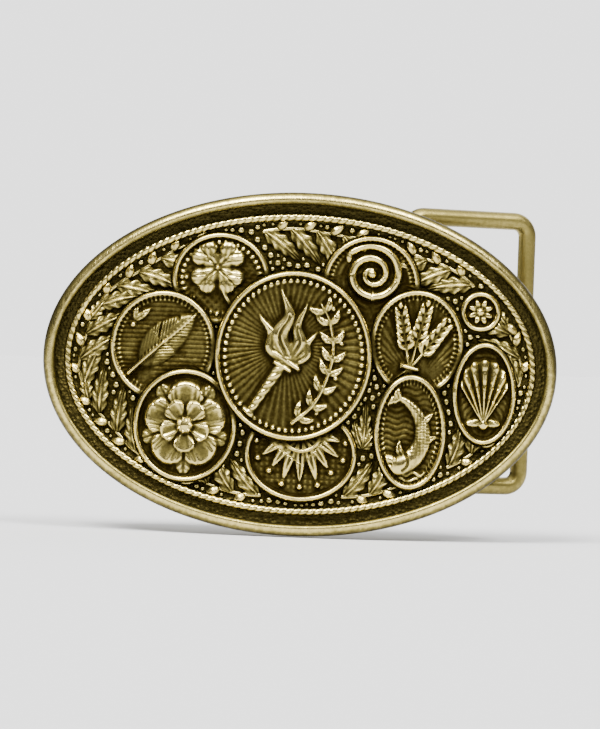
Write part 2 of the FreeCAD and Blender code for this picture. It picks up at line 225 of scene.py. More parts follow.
def grain(shape, reach, amount):
    """Soft random unevenness over a grid."""
    rough = blur(rng.standard_normal(shape), reach)
    return amount * rough / np.abs(rough).max()


# Meshes. A shape is its points in metres, a list of arrays of its faces, and a value for each point, from 0
# in a dark recess to 1 on a polished crest: patina and wear, with painted shade where a medallion, leaf or
# stem runs next to or under a coin or the bead.

def at(x, y, z):
    """Points from their coordinates, which are grids or single values."""
    return np.stack(np.broadcast_arrays(x, y, z), axis=-1)


def bend(x, z, height):
    """Points in the row frame at places on the plaque's face and heights above its plate."""
    return at(x, BEND_RADIUS - np.sqrt((FRONT_RADIUS + height) ** 2 - x ** 2), z) * MM


def faces(*corners):
    """Faces from the numbers of their first corners, of their second corners and so on."""
    return np.stack([np.ravel(numbers) for numbers in corners], axis=1)


def grid_faces(rows, columns):
    """The faces of a grid of points."""
    index = np.arange(rows * columns).reshape(rows, columns)
    return faces(index[:-1, :-1], index[1:, :-1], index[1:, 1:], index[:-1, 1:])


def ring_faces(rings, sides, closed=False):
    """The faces of a row of rings of points, and from the last ring to the first if closed."""
    index = np.arange(rings * sides).reshape(rings, sides)
    if closed:
        index = np.vstack([index, index[:1]])
    after = np.roll(index, -1, axis=1)
    return faces(index[:-1], after[:-1], after[1:], index[1:])


def edge_loop(rows, columns):
    """The points round the edge of a grid, one after another."""
    index = np.arange(rows * columns).reshape(rows, columns)
    return np.concatenate([index[0, :], index[1:, -1], index[-1, -2::-1], index[-2:0:-1, 0]])


def wall(upper, lower):
    """The faces between two closed loops of points."""
    return faces(upper, np.roll(upper, -1), np.roll(lower, -1), lower)


def fan(loop, middle):
    """The faces between a closed loop of points and a point."""
    return faces(loop, np.roll(loop, -1), np.full(len(loop), middle))


def slab(front, back):
    """A closed shape between two grids of points in metres: its points and its faces."""
    rows, columns = front.shape[:2]
    count = rows * columns
    loop = edge_loop(rows, columns)
    side = grid_faces(rows, columns)
    points = np.vstack([front.reshape(-1, 3), back.reshape(-1, 3)])
    return points, [side, side[:, ::-1] + count, wall(loop, count + loop)]


def relief(x, z, height, worn, foot_worn=0.0):
    """A closed shape from a grid of places and heights, with a wall down to the plate and a base."""
    rows, columns = x.shape
    loop = edge_loop(rows, columns)
    edge_x, edge_z, edge_height = x.ravel()[loop], z.ravel()[loop], height.ravel()[loop]
    points = [bend(x, z, height).reshape(-1, 3)]
    shade = [worn.ravel()]
    blocks = [grid_faces(rows, columns)]
    upper, start = loop, rows * columns
    for share in (0.5, 1.0):
        lower = start + np.arange(len(loop))
        points.append(bend(edge_x, edge_z, edge_height * (1 - share)))
        shade.append(worn.ravel()[loop] * (1 - share) + foot_worn * share)
        blocks.append(wall(upper, lower))
        upper, start = lower, start + len(loop)
    points.append(bend(edge_x.mean(), edge_z.mean(), 0.0)[None])
    shade.append([foot_worn])
    return np.vstack(points), blocks + [fan(upper, start)], np.concatenate(shade)


def join(shapes):
    """Several shapes as one."""
    points, blocks, worn = zip(*shapes)
    starts = np.cumsum([0] + [len(p) for p in points])
    moved = [block + start for start, own in zip(starts, blocks) for block in own]
    return np.vstack(points), moved, np.concatenate(worn)


def set_values(mesh, name, values):
    """Gives each point of a mesh a value under a name."""
    mesh.attributes.new(name, "FLOAT", "POINT").data.foreach_set("value", values.astype(np.float32))


def placed(name, data):
    """A Blender object of some data, in the scene."""
    made = bpy.data.objects.new(name, data)
    bpy.context.scene.collection.objects.link(made)
    return made


def make_piece(name, shape, material, stands_for, body="plaque"):
    """Makes a Blender object of a shape, which stands for a CAD node and rides on a body."""
    points, blocks, worn = shape
    blocks = sorted(blocks, key=lambda block: -block.shape[1])      # four-sided faces first
    mesh = bpy.data.meshes.new(name)
    mesh.from_pydata(points.tolist(), [], [face for block in blocks for face in block.tolist()])
    set_values(mesh, "worn", worn)
    mesh.shade_smooth()
    mesh.materials.append(material)
    piece = placed(name, mesh)
    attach(piece, body)
    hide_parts(stands_for)
    return piece


# Materials. A helper that makes a node gives the socket of its result.

def feed(tree, target, inputs):
    """Gives a node's inputs their values, which are constants or other nodes' sockets."""
    for name, value in inputs.items():
        if isinstance(value, bpy.types.NodeSocket):
            tree.links.new(value, target.inputs[name])
        else:
            target.inputs[name].default_value = value


def node(tree, kind, inputs, output=0, **settings):
    """The socket of one output of a new shader node with these inputs and settings."""
    made = tree.nodes.new("ShaderNode" + kind)
    for name, value in settings.items():
        setattr(made, name, value)
    feed(tree, made, inputs)
    return made.outputs[output]


def new_material(name):
    """A material, its node tree, its shader, and the socket of the place on the object."""
    material = bpy.data.materials.new(name)
    material.use_nodes = True
    tree = material.node_tree
    return material, tree, tree.nodes["Principled BSDF"], node(tree, "TexCoord", {}, "Object")


def ramped(tree, value, stops):
    """The colour that a value picks from (position, colour) stops."""
    picked = node(tree, "ValToRGB", {"Fac": value})
    elements = picked.node.color_ramp.elements
    while len(elements) < len(stops):
        elements.new(0.5)
    for element, (position, colour) in zip(elements, stops):
        element.position = position
        element.color = (*colour, 1)
    return picked


def noise(tree, place, scale, detail, stretch=None):
    """A noise of some scale per metre; stretch scales and turns its axes."""
    if stretch:
        place = node(tree, "Mapping", {"Vector": place, "Scale": stretch[:3], "Rotation": stretch[3:]})
    return node(tree, "TexNoise", {"Vector": place, "Scale": scale, "Detail": detail, "Roughness": 0.6})


def ranged(tree, value, from_low, from_high, to_low, to_high):
    """A value moved from one range to another."""
    return node(tree, "MapRange", {"Value": value, "From Min": from_low, "From Max": from_high,
                                   "To Min": to_low, "To Max": to_high})


def combined(tree, operation, a, b):
    """Two values, or a value and a number, put together by an operation."""
    return node(tree, "Math", {0: a, 1: b}, operation=operation)


def bumped(tree, height, distance, strength, normal=None):
    """A normal that a height in metres bumps, on top of another normal if given."""
    inputs = {"Height": height, "Distance": distance, "Strength": strength}
    return node(tree, "Bump", {**inputs, "Normal": normal} if normal else inputs)


PATINA = [(0.0, (0.011, 0.007, 0.0010)), (0.22, (0.030, 0.022, 0.0045)), (0.45, (0.080, 0.064, 0.017)),
          (0.68, (0.225, 0.183, 0.050)), (1.0, (0.800, 0.650, 0.220))]
SATIN = [(0.0, (0.014, 0.010, 0.002)), (0.3, (0.075, 0.058, 0.014)), (0.6, (0.210, 0.170, 0.048)),
         (1.0, (0.500, 0.405, 0.130))]


def brass(name, colours=PATINA, mottle=0.35, rough=(0.60, 0.24), scratches=0.0, stipple=0.0, brushed=0.0):
    """Antique brass: dark patina in the recesses, bright on the rubbed crests, mottled and scratched, and
    darker where the point values carry painted shade.
    """
    material, tree, shader, place = new_material(name)
    fine = noise(tree, place, 1500, 5)
    layers = [(fine, mottle / 2), (noise(tree, place, 160, 3), mottle / 3)]
    if brushed:
        layers.append((noise(tree, place, 1, 3, (110, 110, 4600, 0, 0, 0)), brushed / 2))
    tone = node(tree, "Attribute", {}, "Fac", attribute_name="worn")
    for layer, amount in layers:
        tone = combined(tree, "ADD", tone, ranged(tree, layer, 0.3, 0.7, -amount, amount))
    gloss = ranged(tree, tone, 0.1, 0.95, *rough)
    gloss = combined(tree, "ADD", gloss, ranged(tree, fine, 0.3, 0.7, 0.07, -0.07))
    normal = bumped(tree, noise(tree, place, 5200, 3), 0.00003, 0.35)
    if scratches:
        for turn in (0.4, 1.9, -0.7):
            lines = noise(tree, place, 1, 2, (9000, 260, 260, 0.3, turn, 0.2))
            cut = ranged(tree, lines, 0.60, 0.70, 0, 1)
            normal = bumped(tree, cut, -0.00003, scratches, normal)
            gloss = combined(tree, "ADD", gloss, combined(tree, "MULTIPLY", cut, 0.10))
    if stipple:
        pits = node(tree, "TexVoronoi", {"Vector": place, "Scale": 1900}, "Distance")
        matted = node(tree, "Attribute", {}, "Fac", attribute_name="matting")
        depth = combined(tree, "MULTIPLY", pits, matted)
        normal = bumped(tree, depth, 0.00025, stipple, normal)
    colour = ramped(tree, tone, colours)
    feed(tree, shader, {"Base Color": colour, "Metallic": 1.0, "Roughness": gloss, "Normal": normal})
    return material


ornament_brass = brass("ornament_brass", rough=(0.60, 0.18))
coin_brass = brass("coin_brass", mottle=0.30, rough=(0.60, 0.18))
rim_brass = brass("rim_brass", mottle=0.22, rough=(0.55, 0.20), scratches=0.25)
plate_brass = brass("plate_brass", mottle=0.07, rough=(0.66, 0.34), scratches=0.35, stipple=0.8,
                    brushed=0.15)
hardware_brass = brass("hardware_brass", SATIN, mottle=0.14, rough=(0.55, 0.28), scratches=0.35)


# Medallions. A motif is reliefs that lie over one another, each of them heights at places
# about the coin's middle.

def torch(x, z):
    """A torch aslant, crossed by an olive branch."""
    handle = stroke(x, z, [(-6.7, -9.2), (-1.5, -1.0)], [0.62, 1.05], 0.85)
    along, across = turned(x, z, 57.6)
    yield handle * (1 - 0.28 * wave(2 * np.pi * (along + 0.9 * across) / 1.5))
    yield pearl(x, z, (-6.8, -9.4), 1.0, 0.75)
    yield stroke(x, z, [(-2.9, -1.1), (-0.5, -2.4)], 0.42, 0.95)
    yield stroke(x, z, [(-3.0, 0.4), (0.8, -2.0)], 0.5, 1.0)
    yield petal(x, z, (-2.2, -2.2), (0.6, 2.4), 5.0, 0.8, groove=0.0)
    for line, widths, height in (
        ([(-1.5, -0.6), (-3.4, 1.2), (-3.6, 3.6), (-5.6, 6.2)], [1.0, 1.25, 0.8, 0.12], 0.9),
        ([(-1.0, 0.0), (-2.3, 3.2), (-0.8, 6.4), (-2.2, 10.3)], [1.3, 1.55, 1.0, 0.12], 1.1),
        ([(-0.4, -0.2), (0.9, 2.2), (0.5, 4.8), (2.0, 8.2)], [1.0, 1.25, 0.8, 0.12], 0.95),
        ([(0.0, -1.2), (1.9, 0.2), (2.2, 2.0), (3.7, 3.8)], [0.8, 0.95, 0.6, 0.12], 0.8),
    ):
        yield tongue(x, z, line, widths, height)
    spine = curve([(0.2, -10.6), (3.4, -7.6), (5.4, -3.4), (6.3, 1.0), (5.6, 5.6), (4.2, 8.2)])
    yield stroke(x, z, spine, [0.42, 0.22], 0.7)
    for i, share in enumerate(np.linspace(0.06, 0.94, 8)):
        here, ahead = spine[int(share * (len(spine) - 2)):][:2]
        heading = math.atan2(ahead[1] - here[1], ahead[0] - here[0])
        for side, reach in ((1, 2.9), (-1, 2.7)):
            tip = polar(heading + side * math.radians(44), reach, centre=here)
            yield petal(x, z, here, tip, 1.35, 0.8, 0.2 * side, 4)
        if i % 2:
            yield pearl(x, z, polar(heading - math.radians(95), 1.3, centre=here), 0.42, 0.6)


def rose(x, z):
    """A rose with two rounds of petals and sepals between them."""
    radius, angle = np.hypot(x, z / 1.06), np.arctan2(z, x)
    for turn in np.radians(54 + 72 * np.arange(5)):
        yield petal(x, z, polar(turn, 4.4), polar(turn, 7.7, 8.3), 2.8, 0.6, 0, 4)
    for reach, height, shift in ((6.9, 0.95, 90), (4.3, 1.25, 54)):
        lobe = np.abs(np.cos(2.5 * (angle - math.radians(shift))))
        share = radius / (reach * (0.70 + 0.30 * lobe ** 0.6))
        body = (0.52 + 0.48 * share ** 1.6) * smooth(1.03, 0.88, share)
        body = body * (1 - 0.55 * np.exp(-(lobe * radius / 0.55) ** 2))
        body = body * (1 - 0.16 * wave((1 - lobe ** 0.9) * radius * 5))
        yield height * body
    yield pearl(x, z, (0, 0), 1.6, 1.35)
    for i in range(7):
        yield pearl(x, z, polar(2 * np.pi * i / 7, 1.05), 0.40, 1.5)


def dolphin(x, z):
    """A heraldic dolphin, head down, over waves."""
    back = [(-3.2, -4.6), (-1.6, -5.3), (0.6, -4.0), (2.0, -1.2), (1.6, 2.0), (-0.2, 4.4), (-2.2, 5.6)]
    body = stroke(x, z, curve(back), [1.15, 1.7, 1.65, 1.45, 1.15, 0.75, 0.4], 1.15)
    scales = 0.5 + 0.5 * np.cos(2 * np.pi * (x + z) / 1.1) * np.cos(2 * np.pi * (x - z) / 1.1)
    body = body * (1 - 0.16 * scales * smooth(-4.6, -2.6, z))
    body = body - 0.45 * stroke(x, z, [(-4.6, -4.4), (-2.9, -5.1)], [0.2, 0.3], 1.0)
    yield body - 0.30 * stroke(x, z, arc(-1.9, -4.6, 1.7, -60, 60), 0.24, 1.0)
    yield petal(x, z, (-2.6, -5.0), (-4.9, -4.0), 1.1, 0.95)
    yield pearl(x, z, (-2.3, -4.2), 0.42, 1.5)
    for fin in (
        ((-1.6, 5.2), (-4.3, 4.2), 1.5, 0.95, -0.3, 4),
        ((-1.6, 5.2), (-2.4, 7.6), 1.5, 0.95, 0.3, 4),
        ((1.8, -2.4), (4.4, -0.6), 1.5, 0.85, 0.4, 4),
        ((1.8, 0.4), (3.7, 3.2), 1.2, 0.75, 0.3, 3),
        ((-0.6, -4.4), (-1.6, -1.2), 1.5, 0.85, 0.5, 3),
    ):
        yield petal(x, z, *fin)
    for level in (-6.6, -7.6):
        swell = [(p, level + 0.32 * math.sin(2.6 * p + level)) for p in np.linspace(-3.4, 3.4, 24)]
        yield stroke(x, z, swell, 0.3, 0.5)


def shell(x, z):
    """A scallop shell."""
    radius, angle = np.hypot(x, z + 5.0), np.arctan2(x, z + 5.0)
    spread = np.abs(angle) / 0.56
    ribs = wave(spread * np.pi * 6)
    share = radius / (10.6 * (1 - 0.30 * spread ** 2.2) * (0.97 + 0.03 * ribs))
    body = dome(share ** 4) ** 0.6 * (0.45 + 0.55 * ribs ** 0.7) * smooth(1.08, 0.98, spread)
    bands = 1 - 0.07 * smooth(0.2, 0.9, np.cos(radius * 2.9)) * smooth(0.3, 0.6, share)
    yield 1.15 * body * bands
    yield pearl(x, z, (0, -4.9), 0.9, 0.95)
    for tip in (-2.9, 2.9):
        yield petal(x, z, (0, -4.4), (tip, -4.9), 1.5, 0.7, 0, 3)


def feather(x, z):
    """A feather with split barbs, aslant, and a sprig."""
    low, high = (-5.4, -4.6), (5.0, 5.0)
    vane = petal(x, z, (-3.6, -3.1), high, 5.6, 0.75, 0.35, groove=0.0)
    along, across = turned(x, z, 42.7)
    across = across - 0.25
    slant = along - 1.25 * np.abs(across)
    vane = vane * (0.62 + 0.38 * wave(2 * np.pi * slant / 0.72) ** 0.7)
    for split, side in ((-1.2, 1), (1.6, -1), (2.9, 1)):
        gap = np.abs(slant - split) / 0.3
        vane = vane * (1 - 0.85 * smooth(1, 0.3, gap) * smooth(0.9, 1.6, side * across))
    yield vane
    yield stroke(x, z, curve([low, (-1.9, -1.2), (1.7, 2.0), high]), [0.42, 0.34, 0.16], 1.2)
    yield pearl(x, z, (-4.9, 3.2), 0.5, 0.6)
    for tip, width in (((-2.2, 5.8), 1.3), ((-4.4, 6.6), 1.1)):
        yield petal(x, z, (-4.6, 3.8), tip, width, 0.65, 0, 3)


def wheat(x, z):
    """A sheaf of three ears of wheat with a band."""
    x, z = turned(x, z, -14)
    yield stroke(x, z, [(-1.2, -4.1), (1.2, -4.1)], 0.45, 1.05)
    root = np.array([0.0, -4.4])
    for lean, top in ((-24, 7.0), (0, 7.6), (24, 7.0)):
        along = np.array(polar(math.radians(90 - lean), 1.0))
        side = np.array([-along[1], along[0]])
        yield stroke(x, z, [root, root + along * (top + 1.6)], [0.30, 0.26], 0.6)
        for i in range(5):
            here = root + along * (top - 3.9 + 1.32 * i)
            for way in (-1, 1):
                foot = here + side * way * 0.22
                tip = here + along * 2.0 + side * way * (1.30 - 0.12 * i)
                yield petal(x, z, foot, tip, 1.10, 1.0 - 0.05 * i, 0.16 * way, groove=0.0)
        crest = root + along * (top + 2.6)
        yield petal(x, z, crest, crest + along * 2.0, 1.05, 0.85, groove=0.0)
    for lean in (-40, -18, 18, 40):
        straw = [(0, -4.2), polar(math.radians(270 + lean), 3.2, centre=(0, -4.2))]
        yield stroke(x, z, straw, [0.28, 0.16], 0.6)


def palmette(x, z):
    """A palmette that opens downwards, with a pearl at each tip."""
    root = (0.0, 3.6)
    yield stroke(x, z, arc(*root, 3.1, 195, 345), 0.55, 1.15)
    for i, angle in enumerate(np.linspace(-78, 78, 9)):
        turn = math.radians(270 + angle)
        reach = 7.6 + 0.4 * (i % 2) - 1.1 * abs(angle) / 78
        tip, beyond = (polar(turn, r, 1.05 * r, root) for r in (reach, reach + 0.75))
        yield petal(x, z, root, tip, 2.1, 1.0, 0.25 * np.sign(angle), 0, 0.45)
        yield pearl(x, z, beyond, 0.55, 0.75)


def clover(x, z):
    """A four-leaved clover on a curved stem, with a row of pearls."""
    centre = (-0.6, 1.7)
    yield stroke(x, z, curve([centre, (0.2, -1.6), (1.8, -4.4)]), [0.26, 0.42], 0.7)
    for i in range(4):
        along, across = turned(x - centre[0], z - centre[1], 45 + 90 * i)
        lobes = [pearl(along, across, (3.1, side), 1.5, 0.95) for side in (0.88, -0.88)]
        heart = over(*lobes, petal(along, across, (0.0, 0.0), (4.4, 0.0), 3.2, 0.9, groove=0.0))
        heart = heart * (1 - 0.13 * wave(4.4 * (along - 1.3 * np.abs(across))))
        vein = stroke(along, across, [(0.3, 0.0), (3.9, 0.0)], [0.26, 0.12], 0.22)
        yield heart - np.where(heart > 0.3, vein, 0)
    yield pearl(x, z, centre, 0.5, 1.0)
    for turn in np.radians((100, 140, 180, 220)):
        yield pearl(x, z, polar(turn, 5.5, 5.0), 0.38, 0.5)


def scroll(x, z):
    """A volute that opens into a bud."""
    turn = np.linspace(0.6, 4.55 * np.pi, 96)
    radius = 0.35 + 0.315 * turn
    line = oval(radius, 0.97 * radius, turn + 0.6) + (0.1, 1.7)
    yield stroke(x, z, line, [0.42, 0.6, 0.75, 0.68], 1.0)
    yield pearl(x, z, (0.1, 1.7), 0.8, 1.1)
    for lean in (math.radians(angle) for angle in (150, 115, 75, 35)):
        root, tip = polar(lean, 4.4, 4.2, (0.3, 1.2)), polar(lean - 0.3, 6.1, 5.6, (0.3, 1.2))
        yield petal(x, z, root, tip, 1.0, 0.65)


def daisy(x, z):
    """A small daisy."""
    yield pearl(x, z, (0, 0), 0.75, 1.0)
    for turn in np.radians(22.5 + 45 * np.arange(8)):
        yield petal(x, z, polar(turn, 0.5), polar(turn, 2.35), 1.0, 0.8, groove=0.3)


# What is cut in a coin's ground, from 0 to 1 at places about its middle
TEXTURES = {
    "rays": lambda x, z: wave(60 * np.arctan2(z - 1.5, x + 1.2)) * smooth(3, 5, np.hypot(x + 1.2, z - 1.5)),
    "sunrise": lambda x, z: wave(56 * np.arctan2(x, z + 6.5)) * smooth(2, 4, np.hypot(x, z + 6.5)),
    "water": lambda x, z: wave(2 * np.pi * (z + 0.22 * np.sin(2.1 * x)) / 0.92),
    "ripples": lambda x, z: wave(2 * np.pi * np.hypot(x, z + 5.0) / 0.85),
    "level lines": lambda x, z: 0.7 * wave(2 * np.pi * z / 0.72),
    "lattice": lambda x, z: np.maximum(wave(4.8 * (x + z)), wave(4.8 * (x - z))),
    "dots": lambda x, z: wave(7.2 * x) * wave(7.2 * z),
    "rings": lambda x, z: wave(2 * np.pi * np.hypot(x, z) / 0.88),
    "bare": lambda x, z: np.zeros_like(x),
}

# The uppermost first. A size is half the width and half the height; the ground and the
# rim are heights above the plate.
Coin = namedtuple("Coin", "name motif texture edging x z size ground rim")
COINS = [
    Coin("torch", torch, "rays", "pearls", -1.1, 1.3, (12.5, 13.5), 1.20, 2.00),
    Coin("rose", rose, "dots", "plain", -17.9, -10.3, (8.3, 9.0), 1.00, 1.75),
    Coin("dolphin", dolphin, "water", "ticks", 17.8, -10.1, (5.8, 9.2), 1.00, 1.75),
    Coin("shell", shell, "ripples", "plain", 29.4, -3.6, (5.2, 8.2), 1.00, 1.75),
    Coin("feather", feather, "level lines", "ticks", -21.8, 2.2, (8.5, 8.8), 0.80, 1.50),
    Coin("wheat", wheat, "sunrise", "ticks", 18.4, 4.1, (7.5, 8.4), 0.80, 1.50),
    Coin("palmette", palmette, "dots", "plain", 0.6, -14.2, (9.0, 7.6), 0.55, 1.25),
    Coin("clover", clover, "lattice", "pearls", -13.0, 13.2, (7.8, 7.3), 0.55, 1.25),
    Coin("scroll", scroll, "rings", "ticks", 10.8, 13.0, (7.8, 7.8), 0.55, 1.25),
    Coin("daisy", daisy, "bare", "plain", 28.4, 9.4, (3.3, 3.3), 0.55, 1.15),
]
COIN_RIM = 1.0
COIN_GAP = 0.06             # between a coin and the one over it
PROBE_CELLS = 40            # of the coarse grid that finds the middle of a coin's open part
TICK_PITCH = 0.85
PEARL_PITCH = 1.25
GROUND_DEPTH = 0.13         # of the lines and dots cut in the coins' grounds


def disc_grid(cells):
    """A square grid laid on the unit disc by the concentric map, as distances and angles."""
    side = np.linspace(-1, 1, cells + 1)
    a, b = np.meshgrid(side, side, indexing="ij")
    flat = np.abs(a) > np.abs(b)
    radius = np.where(flat, a, b)
    divisor = np.where(radius == 0, 1, radius)
    angle = np.where(flat, np.pi / 4 * b / divisor, np.pi / 2 - np.pi / 4 * a / divisor)
    x, z = radius * np.cos(angle), radius * np.sin(angle)
    return np.hypot(x, z), np.arctan2(z, x)


def outside(coin, x, z):
    """How far places are outside a coin."""
    return ellipse_distance(x - coin.x, z - coin.z, *coin.size)


def ray_to_ellipse(x, z, dx, dz, size, gap, entering):
    """How far a ray from x, z runs before it enters or leaves an ellipse that is a gap larger."""
    half_width, half_height = size[0] + gap, size[1] + gap
    a = (dx / half_width) ** 2 + (dz / half_height) ** 2
    b = 2 * (x * dx / half_width ** 2 + z * dz / half_height ** 2)
    c = (x / half_width) ** 2 + (z / half_height) ** 2 - 1
    inside = b * b - 4 * a * c
    root = np.sqrt(np.maximum(inside, 0))
    far = (-b - root) / (2 * a) if entering else (-b + root) / (2 * a)
    return np.where((inside > 0) & (far > 0), far, np.inf)


def coin_grid(coin, above):
    """Places all over the part of a coin that the coins above leave open."""
    r, angle = disc_grid(PROBE_CELLS)
    x = coin.x + r * coin.size[0] * np.cos(angle)
    z = coin.z + r * coin.size[1] * np.sin(angle)
    free = ellipse_distance(x, z, *FIELD) < 0
    for other in above:
        free &= outside(other, x, z) > COIN_GAP
    middle_x, middle_z = x[free].mean(), z[free].mean()
    r, angle = disc_grid(int(2 * max(coin.size) / CELL))
    dx, dz = np.cos(angle), np.sin(angle)
    ovals = [(coin.x, coin.z, coin.size, 0.0, False), (0.0, 0.0, FIELD, -COIN_GAP, False)]
    ovals += [(other.x, other.z, other.size, COIN_GAP, True) for other in above]
    reach = np.minimum.reduce([ray_to_ellipse(middle_x - cx, middle_z - cz, dx, dz, *how)
                               for cx, cz, *how in ovals])
    return middle_x + r * reach * dx, middle_z + r * reach * dz


def border(coin, x, z, inside):
    """The ring of pearls or ticks just inside a coin's rim."""
    if coin.edging == "plain":
        return np.zeros_like(x)
    turn = np.arctan2(z / coin.size[1], x / coin.size[0])
    around = math.pi * sum(coin.size)
    if coin.edging == "ticks":
        band = smooth(0.80, 0.95, inside) * smooth(1.75, 1.55, inside)
        return 0.30 * band * wave(round(around / TICK_PITCH) * turn) ** 0.8
    along = ((turn * round(around / PEARL_PITCH) / (2 * np.pi) + 0.5) % 1 - 0.5) * PEARL_PITCH
    return 0.42 * dome(np.hypot(along, inside - 1.55) / 0.5)


def medallion(coin, above):
    """A medallion's shape, cut back where the ones above it lie."""
    x, z = coin_grid(coin, above)
    dx, dz = x - coin.x, z - coin.z
    inside = -outside(coin, x, z)
    raised = (coin.rim - coin.ground - 0.12) * smooth(COIN_RIM + 0.12, COIN_RIM - 0.28, inside)
    crown = 0.24 * np.sin(np.pi * np.clip(inside / COIN_RIM, 0, 1))
    rounded = -0.34 * smooth(0.30, 0.0, inside) ** 2
    dish = -0.16 * smooth(COIN_RIM, coin.size[0], inside)
    dish = dish + grain(x.shape, 6, 0.035) + grain(x.shape, 2, 0.012)
    picture = over(*coin.motif(dx, dz)) * smooth(COIN_RIM, COIN_RIM + 0.45, inside)
    cut = GROUND_DEPTH * TEXTURES[coin.texture](dx, dz)
    lines = cut * smooth(COIN_RIM + 0.2, COIN_RIM + 0.8, inside)
    dish = dish + lines * smooth(0.25, 0.0, picture)
    top = np.maximum(picture, border(coin, dx, dz, inside))
    height = blur(coin.ground + dish + raised + crown + rounded + top, 1)
    local = blur(height, max(1, round(RELIEF_REACH / CELL)))
    close = blur(height, max(1, round(0.3 * RELIEF_REACH / CELL)))
    proud = (height - local) / 0.60 + (height - close) / 0.28
    proud = np.where(proud < 0, 0.75 * proud, proud)
    worn = np.clip(0.29 + proud + 0.38 * smooth(coin.ground, coin.ground + 0.8, height), 0, 1)
    # Painted shade: the coin is darkened next to each coin over it, as if that coin shaded it.
    for other in above:
        worn = worn * (0.12 + 0.88 * smooth(0.05, 1.2, outside(other, x, z)))
    return relief(x, z, height, worn, foot_worn=0.05)


for i, coin in enumerate(COINS):
    make_piece("coin_" + coin.name, medallion(coin, COINS[:i]), coin_brass, "medallion_" + coin.name)


# Plate

def base_plate():
    """The bent plate: a stippled front, a brushed back and a rounded edge."""
    r, angle = disc_grid(170)
    x, z = HALF_LENGTH * r * np.cos(angle), HALF_HEIGHT * r * np.sin(angle)
    inside = -ellipse_distance(x, z, HALF_LENGTH, HALF_HEIGHT)
    edge = -0.25 * smooth(0.35, 0, inside) ** 2
    front = edge + grain(x.shape, 3, 0.05) * smooth(FIELD_INSET, FIELD_INSET + 0.5, inside)
    back = -PLATE_THICKNESS - edge + grain(x.shape, 8, 0.03) * smooth(0.4, 3, inside)
    dark = 0.33 - 0.16 * smooth(0.0, 0.8, inside - FIELD_INSET) + 0.5 * smooth(0.5, 0.2, inside)
    light = 0.72 - 0.25 * smooth(1.2, 0.0, inside) + grain(x.shape, 14, 0.07)
    return *slab(bend(x, z, front), bend(x, z, back)), np.concatenate([dark.ravel(), light.ravel()])


plate = make_piece("plate", base_plate(), plate_brass, "base_plate")
matting = np.zeros(len(plate.data.vertices), np.float32)
matting[:len(matting) // 2] = 1         # the front's points come first
set_values(plate.data, "matting", matting)


# Border

def oval_path(inset, stations):
    """Evenly spaced points along the oval at an inset from the plaque's edge, and their outward ways."""
    a, b = HALF_LENGTH - inset, HALF_HEIGHT - inset
    turn = np.linspace(0, 2 * np.pi, 4001)
    run = run_along(oval(a, b, turn))
    turn = np.interp(np.linspace(0, run[-1], stations, endpoint=False), run, turn)
    return oval(a, b, turn), unit(oval(b, a, turn)), run[-1]


def hoop(inset, stations, across, height, worn):
    """A closed ring round the plaque whose section may change from station to station."""
    path, outward, _ = oval_path(inset, stations)
    x = path[:, :1] + outward[:, :1] * across
    z = path[:, 1:] + outward[:, 1:] * across
    points = bend(x, z, height).reshape(-1, 3)
    return points, [ring_faces(*across.shape, closed=True)], worn.ravel()


def rim_ring():
    """The border's outer rim: a slope that faces outward, a round crest and a steep inner side."""
    stations = 900
    turn = np.linspace(0, np.pi, 19)
    crest_across = 0.5 * RIM_WIDTH * (np.cos(turn) - 0.30 * np.sin(turn) ** 2)
    crest_height = 1.0 + (RIM_HEIGHT - 1.0) * np.sin(turn) ** 0.95
    across = np.concatenate([[0.5 * RIM_WIDTH] * 3, crest_across, [-0.5 * RIM_WIDTH] * 3])
    height = np.concatenate([[0.0, 0.4, 0.8], crest_height, [0.8, 0.4, 0.0]])
    polish = 0.34 + 0.60 * np.exp(-((crest_across + 0.10) / 0.62) ** 2)
    bright = np.concatenate([[0.18, 0.24, 0.30], polish, [0.30, 0.24, 0.20]])
    sway = grain((stations, 1), 14, 0.05) + grain((stations, 1), 4, 0.02)
    lift = sway * (height > 1.1)
    worn = np.clip(bright + grain((stations, len(height)), 4, 0.08), 0, 1)
    across = np.tile(across, (stations, 1))
    return hoop(RIM_WIDTH / 2, stations, across, height + lift, worn)


def bead_ring():
    """The bead: a fine rope of two strands."""
    stations = 2600
    _, _, length = oval_path(BEAD_INSET + BEAD_WIDTH / 2, 8)
    twists = round(length / ROPE_PITCH)
    turn = np.linspace(-0.15 * np.pi, 1.15 * np.pi, 13)[None, :]
    along = np.linspace(0, 2 * np.pi * twists, stations, endpoint=False)[:, None]
    strand = np.abs(np.cos(turn - along / 2))
    radius = 0.50 + 0.10 * strand ** 0.7
    across = radius * np.cos(turn)
    height = np.maximum(0.62 + 1.05 * radius * np.sin(turn), 0.0)
    height[:, [0, -1]] = 0.0
    worn = np.clip(0.10 + (0.45 + 0.6 * strand) * smooth(-0.2, 0.8, np.sin(turn)), 0, 1)
    return hoop(BEAD_INSET + BEAD_WIDTH / 2, stations, across, height, worn)


make_piece("rim", rim_ring(), rim_brass, "rim_ring")
make_piece("rope_bead", bead_ring(), ornament_brass, "bead_ring")


# Vines: name and the stretch of the field's edge they grow along, in degrees from +X

VINES = [
    ("vine_right", -6, 21),
    ("vine_upper_right", 39, 64),
    ("vine_top", 101, 75),
    ("vine_upper_left", 158, 118),
    ("vine_left", 193, 163),
    ("vine_lower_left", 232, 198),
    ("vine_bottom_left", 261, 239),
    ("vine_bottom_right", 282, 303),
    ("vine_lower_right", 313, 328),
]
SPRIG = (10.3, -13.0, 84)           # the sprig's root, and the way it points in degrees
STEM_INSET = 1.5                    # from the field's edge
LEAF_LENGTH = 7.4
LEAF_WIDTH = 3.1
LEAF_PITCH = 4.2
STEM_STEPS = 60
LEAF_LEAN = 42                      # in degrees off the stem
BERRY = (0.30, 0.62)                # the least and the greatest radius

leaf_prints = []                    # circles that leaves and stems cover, for the berries between


